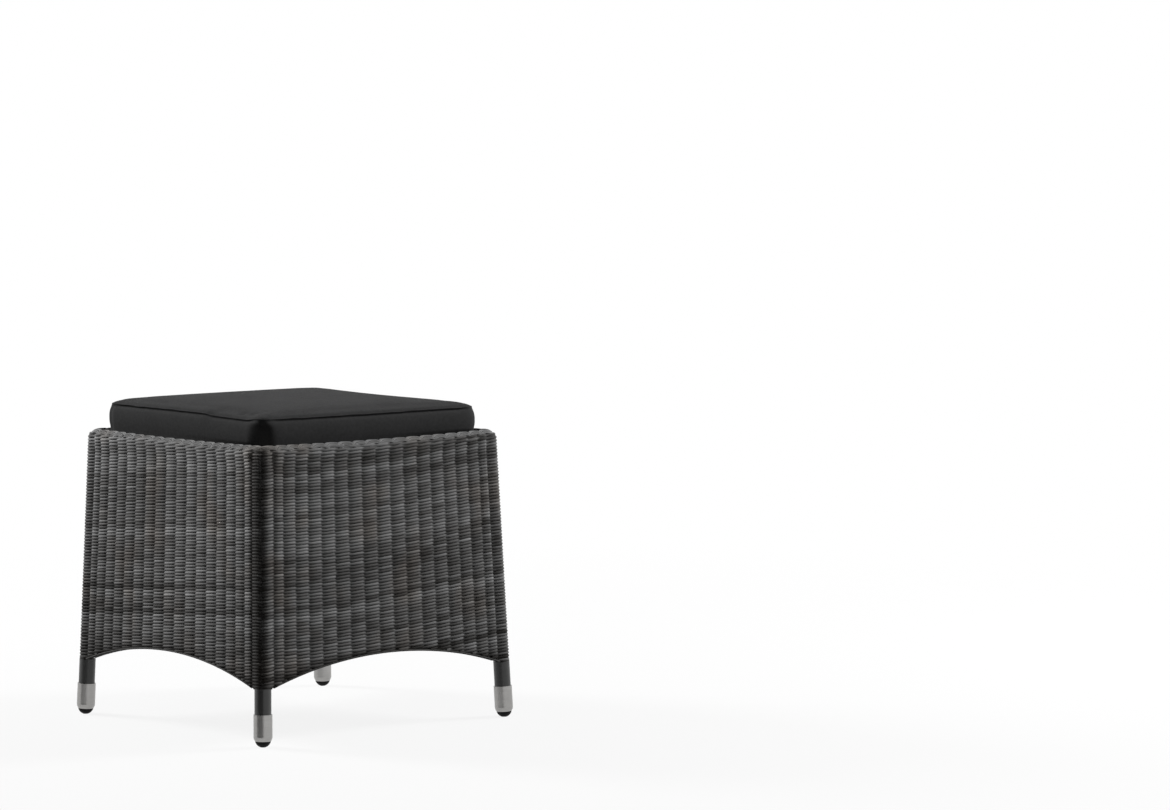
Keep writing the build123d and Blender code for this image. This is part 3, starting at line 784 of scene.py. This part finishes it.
def settle(place):               # seam, corners, squeeze in the rim, zip and the odd dent
    x, y, z = place.T
    half, seam, rimTop = (cushion[name] for name in ("half", "seam", "rimTop"))
    span, under = np.maximum(np.abs(x), np.abs(y)), seam - cushion["stitched"] - z
    depth, width, drop = cushion["groove"]
    straight = eased(half - np.minimum(np.abs(x), np.abs(y)), *cushion["grooveEnds"])
    inward = depth * np.exp(-((z - seam + drop) / width) ** 2) * straight
    depth, width = cushion["gathered"]
    inward += depth * np.exp(-((z - seam) / width) ** 2)
    depth, width, away, ending = cushion["crease"]
    inward += depth * np.exp(-((half - away - y) / width) ** 2) * eased(under, 0, ending) * (x < 0)
    depth, beginning, ending = cushion["bulge"]
    inward -= depth * eased(z - rimTop, 0, beginning) * eased(under, 0, ending)
    scale = 1 - inward * eased(span - half, *cushion["side"]) / np.maximum(span, 1e-6)
    depth, reach, start, ending = cushion["tuck"]
    squeezed = depth * eased(y + half, reach, 0) * eased(x + half, *start) * eased(under, 0, ending)
    x, y = turned(x * scale + squeezed, y * scale)
    for u, v, depth, reach in cushion["dimples"]:
        z = z - depth * np.exp(-((x - u) ** 2 + (y - v) ** 2) / reach ** 2) * (place[:, 2] > seam)
    z = z + lifted(*place[:, :2].T) * eased(z, *cushion["liftFrom"])
    room, high, depth, rise, width = cushion["zipFlat"]
    off = np.maximum(np.maximum(np.abs(x) - zipHigh.x - room, np.abs(z - zipMiddle) - high), 0)
    y = np.minimum(y, np.where(off > width, 1.0, zipHigh.y - depth + rise * eased(off, 0, width)))
    limit = np.where(z > rimTop, 1.0, rim["inside"])
    return np.stack([np.clip(x, -limit, limit), np.clip(y, -limit, limit), np.maximum(z, cushion["low"])], -1)


def makeCushion():
    piece = padShell("cushionCover")
    stuff(piece)
    divide = piece.modifiers.new("divide", "SUBSURF")
    divide.levels = divide.render_levels = 1
    applied(piece)
    piece.data.vertices.foreach_set("co", settle(coordinates(piece.data)).astype(np.float32).ravel())
    piece.data.update()
    piece.data.shade_smooth()
    return piece


clothPaint = Paint("cushionCloth", Specular_IOR_Level=0.02)
threadPitch, ribPitch = 0.0011, 0.0009       # of the cover, and of the zip's tape
warp, weft, upright = ((clothPaint.axis(name) * (2 * math.pi / threadPitch)).sine() for name in "XYZ")
slub = clothPaint.noise(220, 3)
cloud = clothPaint.noise(16, 3)
clothWeave = warp * weft + upright * (warp + weft) * 0.5
clothColour = clothPaint.ramp((0.5 + 0.12 * clothWeave + 0.5 * (slub - 0.5) + 0.35 * (cloud - 0.5)).clamped(),
                              (0.0, grey(54)), (0.45, grey(70, (1, 1, 1.01))), (0.75, grey(78, (1, 1, 1.01))),
                              (1.0, grey(92)))
clothFinish = clothPaint.wear(clothColour, 0.82 + 0.12 * slub, clothWeave * 0.5 + slub, 0.0003, 0.5)

cover = dress(makeCushion(), clothFinish, "cushion", "cushion_fabric", "cushion_top", "cushion_boxing",
              "cushion_bottom", "cushion_foam")

seamCord = dict(
    radius=0.0010,
    flat=0.75,
    samples=400,
    tone=0.3,
    wobble=0.000175,
    waves=((3, 0.4), (7, 2.1), (11, 4.0)),
    seams=(                      # piece, node, edge, above it, outside it
        ("seamHigh", "piping_high", "seam", 0.0002, -0.0026),
        ("seamLow", "piping_low", "low", 0.0028, -0.0012),
    ),
)


def sewSeam(name, node, height, out):
    turn = np.linspace(0, 4, seamCord["samples"] + 1)
    side = np.minimum(turn.astype(int), 3)
    t = 2 * (turn - side) - 1
    one = np.ones_like(t)
    sides = [side == number for number in range(3)]
    x, y = padPlan(np.select(sides, [t, one, -t], -one), np.select(sides, [-one, t, one], -t), cushion["half"] + out)
    wobble = seamCord["wobble"] * sum(np.sin(2 * math.pi * turn * k + p) for k, p in seamCord["waves"])
    z = height + wobble + lifted(x, y) * (height > cushion["rimTop"])
    x, y = turned(x, y)
    if height < cushion["rimTop"]:
        limit = rim["inside"] - seamCord["radius"]
        x, y = np.clip(x, -limit, limit), np.clip(y, -limit, limit)
    points = np.stack([x, y, z], -1)
    points[-1] = points[0]
    pile = Strands(around=8)
    pile.lay(points, upward, seamCord["radius"], seamCord["tone"], seamCord["flat"], capped=False)
    pile.finish(name, clothFinish, "cushion", "cushion_fabric", node)


for name, node, edge, above, out in seamCord["seams"]:
    sewSeam(name, node, cushion[edge] + above, out)

# Zip
zipCloth = dict(
    sunk=0.0014,                 # of the tape's face under the zip's outer side
    coil=dict(pitch=0.0013, wide=0.0022, deep=0.0005, wire=0.00028, proud=0.0008, end=0.001, samples=8, tone=0.7),
    tape=dict(half=0.0056, flat=0.07, apart=0.0006, back=0.0003, samples=60, tone=0.3),
    stitches=dict(rows=(0.0046, 0.0104), radius=0.00022, back=0.0001, samples=337, tone=0.5),
)


def sewZip():
    pile = Strands()
    face = zipHigh.y - zipCloth["sunk"]
    coil, tape, stitches = (zipCloth[name] for name in ("coil", "tape", "stitches"))
    turns = int((zipHigh.x - zipLow.x - 2 * coil["end"]) / coil["pitch"])
    turn = np.linspace(0, turns, turns * coil["samples"] + 1)
    angle = 2 * math.pi * turn
    pile.lay(np.stack([zipLow.x + coil["end"] + turn * coil["pitch"],
                       face + coil["proud"] + coil["deep"] * np.sin(angle),
                       zipMiddle + coil["wide"] * np.cos(angle)], -1), along[0], coil["wire"], coil["tone"])
    for hand in (-1, 1):
        x = np.linspace(zipLow.x, zipHigh.x, tape["samples"])
        z = zipMiddle + hand * (tape["half"] + tape["apart"])
        pile.lay(np.stack([x, face - tape["back"] + 0 * x, z + 0 * x], -1), along[1], tape["half"], tape["tone"],
                 tape["flat"])
        for row in stitches["rows"]:
            x = np.linspace(zipLow.x, zipHigh.x, stitches["samples"])
            lift = stitches["radius"] * np.sin(np.arange(stitches["samples"]) * math.pi / 2) ** 2
            pile.lay(np.stack([x, face + lift - stitches["back"], zipMiddle + hand * row + 0 * x], -1), along[1],
                     stitches["radius"], stitches["tone"])
    pile.finish("zipTape", tapeFinish, "cushion", "zip_tape", "zip_tape")


# Painted and plain metal, plastic, zip tape
postPaint = Paint("framePaint", Specular_IOR_Level=0.45)
speckle = postPaint.noise(700, 2)
cloudy = postPaint.noise(14, 2)
framePaint = postPaint.wear(postPaint.ramp(cloudy, (0.3, grey(38)), (0.7, grey(48))), 0.38 + 0.2 * speckle,
                            speckle, 0.00015, 0.4)

legPaint = Paint("legPaint", Specular_IOR_Level=0.6)
orange = legPaint.noise(520, 2)
legCloud = legPaint.noise(22, 3)
scuffs = legPaint.noise(60, 5, (1, 1, 0.12))
legTint = (0.97, 1.0, 0.96)
legFinish = legPaint.wear(legPaint.ramp(legCloud, (0.25, grey(26, legTint)), (0.75, grey(36, legTint))),
                          0.24 + 0.12 * orange + 0.1 * scuffs, orange, 0.00012, 0.35)

ferrulePaint = Paint("ferruleMetal", Metallic=1.0)
turnedMarks = ferrulePaint.noise(60, 4, (1, 1, 40))
smudges = ferrulePaint.noise(35, 3)
ferruleTint = (1.0, 0.985, 0.96)
ferruleColour = ferrulePaint.ramp(turnedMarks * 0.5 + smudges * 0.5, (0.3, grey(142, ferruleTint)),
                                  (0.7, grey(162, ferruleTint)))
ferruleFinish = ferrulePaint.wear(ferruleColour, 0.22 + 0.16 * smudges, turnedMarks, 0.00008, 0.5)

glidePaint = Paint("glidePlastic", Specular_IOR_Level=0.12)
glideGrain = glidePaint.noise(500, 3)
glideFinish = glidePaint.wear(glidePaint.ramp(glideGrain, (0.3, grey(9)), (0.7, grey(13))),
                              0.5 + 0.2 * glideGrain, glideGrain, 0.0001, 0.3)

tapePaint = Paint("zipTapeCloth", Specular_IOR_Level=0.25)
tapeRib = (tapePaint.axis("X") * (2 * math.pi / ribPitch)).sine()
tapeSlub = tapePaint.noise(600, 2)
tapeColour = tapePaint.ramp(0.5 + 0.2 * tapeRib + 0.4 * (tapeSlub - 0.5), (0.2, grey(34)), (0.8, grey(48)))
tapeFinish = tapePaint.wear(tapeColour, 0.75 + 0.15 * tapeSlub, tapeRib + tapeSlub, 0.0002, 0.6)

sewZip()

zipPaint = Paint("zipMetal", Metallic=0.8)
zipMarks = zipPaint.noise(400, 3)
zipFinish = zipPaint.wear(zipPaint.ramp(zipMarks, (0.3, grey(58)), (0.7, grey(78))), 0.34 + 0.2 * zipMarks,
                          zipMarks, 0.00006, 0.3)

finishes = (
    (framePaint, ("corner_post", "top_rail", "arch_rail", "deck_rail", "deck_bars")),
    (glideFinish, ("post_plugs", "leg_inserts", "foot_glide")),
    (legFinish, ("leg_sleeve",)),
    (ferruleFinish, ("ferrule",)),
    (strandFinish, ("wall_stakes",)),
    (zipFinish, ("zip_slider", "zip_pull")),
)
for nodeName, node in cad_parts.items():
    for finish, starts in finishes:
        if nodeName.startswith(starts):
            for place in node.material_slots:
                place.material = finish
            if not node.material_slots:
                node.data.materials.append(finish)
print("metal, plastic and cloth dressed")

# Floor, light and camera
studio = dict(
    floorSize=7.0,
    floorShade=0.85,
    floorBounce=0.05,            # what the floor sends back to the stool
    floorShare=0.12,             # of the floor over the white behind it, at the stool
    floorFade=(0.5, 2.6),        # from the middle, where the floor begins and ends to fade into the white
    skyShade=1.0,
    ambient=0.095,
    lamps=(                      # name, place, size, watts
        ("keyLeft", (-1.30, 3.04, 1.98), 1.2, 134),
        ("keyRight", (3.02, -1.34, 1.98), 1.2, 112),
    ),
    flag=((-2.6, -0.9, 0.8), 4.5, 2.4),      # dark board to the left of the camera: place, width, height
    aim=(0.0, 0.0, 0.3),
)


def board(name, wide, high):     # flat, round the origin
    mesh = bpy.data.meshes.new(name)
    corners = [(a * wide / 2, b * high / 2, 0) for a, b in ((-1, -1), (1, -1), (1, 1), (-1, 1))]
    mesh.from_pydata(corners, [], [(0, 1, 2, 3)])
    return placed(name, mesh)


def towardsStool(place, axis):
    return (Vector(studio["aim"]) - Vector(place)).to_track_quat(axis, "Y").to_euler()


def layFloor():
    floor = board("floor", studio["floorSize"], studio["floorSize"])
    paint = Paint("paleFloor", Roughness=0.95, Specular_IOR_Level=0.0)
    seen = paint.seen()
    level, bounce = ((studio[name],) * 3 + (1,) for name in ("floorShade", "floorBounce"))
    finish = paint.wear(paint.blend(seen, bounce, level))
    near, far = studio["floorFade"]
    away = paint.node("ShaderNodeVectorMath", {"operation": "LENGTH"}, {0: paint.place()}, out="Value")
    fading = paint.node("ShaderNodeMapRange", {"interpolation_type": "SMOOTHSTEP"},
                        {"Value": away, "From Min": near, "From Max": far, "To Min": 1 - studio["floorShare"],
                         "To Max": 1.0})
    clear = paint.node("ShaderNodeBsdfTransparent", out="BSDF")
    mixed = paint.node("ShaderNodeMixShader", {},
                       {0: seen * fading, 1: Wire(paint, paint.shader.outputs[0]), 2: clear}, out="Shader")
    paint.tree.links.new(mixed.socket, paint.tree.nodes["Material Output"].inputs["Surface"])
    floor.data.materials.append(finish)


def hangLamps():
    for name, place, size, watts in studio["lamps"]:
        data = bpy.data.lights.new(name, "AREA")
        data.shape, data.size, data.energy = "DISK", size, watts
        lamp = placed(name, data)
        lamp.location, lamp.rotation_euler = place, towardsStool(place, "-Z")
        lamp.visible_camera = False


def standFlag():                 # a dark board that only reflections see, as a studio has beside a camera
    place, width, height = studio["flag"]
    flag = board("flag", width, height)
    flag.location, flag.rotation_euler = place, towardsStool(place, "Z")
    flag.data.materials.append(Paint("flagCloth", Base_Color=(0.01, 0.01, 0.01, 1), Roughness=1.0,
                                     Specular_IOR_Level=0.0).material)
    for ray in ("camera", "diffuse", "transmission", "volume_scatter", "shadow"):
        setattr(flag, "visible_" + ray, False)


def paintWorld():                # white where it shows, and dimmer as a light
    world = bpy.data.worlds.new("studioWorld")
    bpy.context.scene.world = world
    world.use_nodes = True
    sky = Nodes(world.node_tree)
    background = sky.tree.nodes["Background"]
    background.inputs["Color"].default_value = (1, 1, 1, 1)
    strength = sky.node("ShaderNodeMapRange", {},
                        {"Value": sky.seen(), "To Min": studio["ambient"], "To Max": studio["skyShade"]})
    sky.tree.links.new(strength.socket, background.inputs["Strength"])


view = dict(azimuth=-40.47, pitch=4.55, roll=-0.25, distance=7.062, across=0.450, height=1.039, lens=142.25,
            sensor=36, farthest=60)


def aimCamera():
    turn, dip, roll = (math.radians(view[name]) for name in ("azimuth", "pitch", "roll"))
    ahead = Vector((-math.sin(turn), math.cos(turn), 0))
    right = Vector((math.cos(turn), math.sin(turn), 0))
    up = Vector((0, 0, 1))
    place = -ahead * view["distance"] + right * view["across"] + up * view["height"]
    looking = ahead * math.cos(dip) - up * math.sin(dip)
    top = up * math.cos(dip) + ahead * math.sin(dip)
    rightRolled = right * math.cos(roll) + top * math.sin(roll)
    topRolled = top * math.cos(roll) - right * math.sin(roll)
    data = bpy.data.cameras.new("camera")
    data.lens, data.sensor_width, data.clip_end = view["lens"], view["sensor"], view["farthest"]
    camera = placed("camera", data)
    camera.matrix_world = Matrix((rightRolled, topRolled, -looking)).transposed().to_4x4()
    camera.location = place
    bpy.context.scene.camera = camera


layFloor()
hangLamps()
standFlag()
paintWorld()
aimCamera()
bpy.context.scene.view_settings.view_transform = "Standard"
print("floor, light and camera set")
